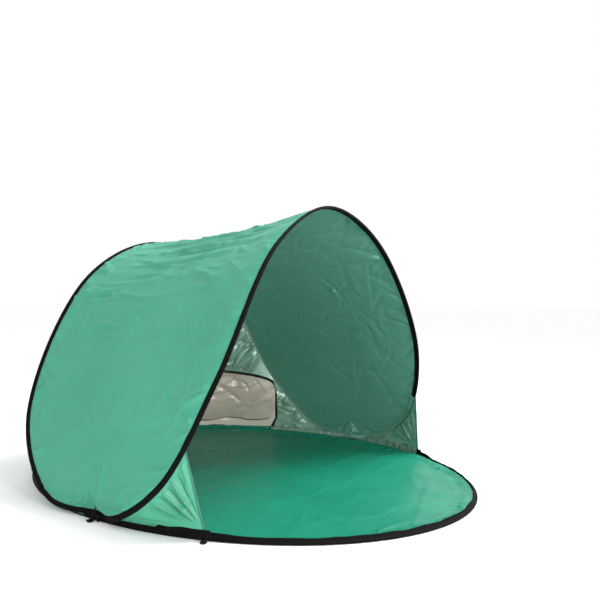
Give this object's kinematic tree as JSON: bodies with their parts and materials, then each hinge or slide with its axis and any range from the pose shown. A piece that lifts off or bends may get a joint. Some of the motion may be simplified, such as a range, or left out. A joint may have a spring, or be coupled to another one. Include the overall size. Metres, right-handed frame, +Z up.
{
  "type": "pop-up tent",
  "caption": "Pop-up beach shelter held open by sprung wire hoops, with an arched canopy, oval floor, zipped rear window and open front.",
  "frame": {"origin": "on the ground under the middle of the floor", "axes": "+Z up, X along the width, Y along the floor's length, with the open front towards -Y"},
  "size_m": [1.7094, 2, 1.06],
  "materials": {
    "canopy_fabric": "satin coated polyester, jade green",
    "floor_fabric": "coated polyester, teal green",
    "wall_fabric": "thin silvery green polyester that lets light through",
    "flap_fabric": "thin silvery green polyester that lets light through",
    "window_mesh": "fine grey mesh",
    "binding_tape": "matt black woven tape",
    "zip_tape": "black woven tape with a nylon coil",
    "webbing": "matt black webbing",
    "spring_wire": "hardened spring steel wire",
    "slider_metal": "black enamelled metal"
  },
  "bodies": {
    "tent": {"canopy_panel": "canopy_fabric", "canopy_binding": "binding_tape", "canopy_hoop": "spring_wire", "canopy_hoop_ferrule": "spring_wire", "floor_panel": "floor_fabric", "floor_binding": "binding_tape", "floor_hoop": "spring_wire", "floor_hoop_ferrule": "spring_wire", "right_gusset": "wall_fabric", "left_gusset": "wall_fabric", "rear_wall": "wall_fabric", "window_mesh": "window_mesh", "zip_wall_half": "zip_tape", "right_hoop_tie": "webbing", "left_hoop_tie": "webbing", "right_gusset_tab": "webbing", "left_gusset_tab": "webbing"},
    "window_flap": {"window_flap": "flap_fabric", "zip_flap_half": "zip_tape"},
    "zip_slider": {"zip_slider": "slider_metal"},
    "zip_pull": {"zip_pull": "slider_metal"},
    "right_side_peg_loop": {"right_side_peg_loop": "webbing"},
    "right_front_peg_loop": {"right_front_peg_loop": "webbing"},
    "right_rear_peg_loop": {"right_rear_peg_loop": "webbing"},
    "left_side_peg_loop": {"left_side_peg_loop": "webbing"},
    "left_front_peg_loop": {"left_front_peg_loop": "webbing"},
    "left_rear_peg_loop": {"left_rear_peg_loop": "webbing"}
  },
  "joints": [
    {"name": "flap_drop", "type": "hinge", "parent": "tent", "child": "window_flap", "pos_m": [0, 0.41, 0.014], "axis": [-1, 0, 0], "range_deg": [0, 30], "deforming": ["window_flap", "zip_flap_half"]},
    {"name": "slider_run", "type": "slide", "parent": "tent", "child": "zip_slider", "axis": [0.074, 0.0849, 0.9936], "range_m": [0, 0.075]},
    {"name": "pull_swing", "type": "hinge", "parent": "zip_slider", "child": "zip_pull", "pos_m": [0.76231, 0.38891, 0.11368], "axis": [0.5015, -0.8644, 0.0365], "range_deg": [0, 150]},
    {"name": "right_side_loop_lift", "type": "hinge", "parent": "tent", "child": "right_side_peg_loop", "pos_m": [0.82705, -0.05943, 0.008], "axis": [-0.0489, -0.9988, 0], "range_deg": [0, 90]},
    {"name": "right_front_loop_lift", "type": "hinge", "parent": "tent", "child": "right_front_peg_loop", "pos_m": [0.72631, -0.48285, 0.008], "axis": [-0.4127, -0.9109, 0], "range_deg": [0, 90]},
    {"name": "right_rear_loop_lift", "type": "hinge", "parent": "tent", "child": "right_rear_peg_loop", "pos_m": [0.41159, 0.85054, 0.008], "axis": [0.7927, -0.6097, 0], "range_deg": [0, 90]},
    {"name": "left_side_loop_lift", "type": "hinge", "parent": "tent", "child": "left_side_peg_loop", "pos_m": [-0.82705, -0.05943, 0.008], "axis": [-0.0489, 0.9988, 0], "range_deg": [0, 90]},
    {"name": "left_front_loop_lift", "type": "hinge", "parent": "tent", "child": "left_front_peg_loop", "pos_m": [-0.72631, -0.48285, 0.008], "axis": [-0.4127, 0.9109, 0], "range_deg": [0, 90]},
    {"name": "left_rear_loop_lift", "type": "hinge", "parent": "tent", "child": "left_rear_peg_loop", "pos_m": [-0.41159, 0.85054, 0.008], "axis": [0.7927, 0.6097, 0], "range_deg": [0, 90]}
  ]
}
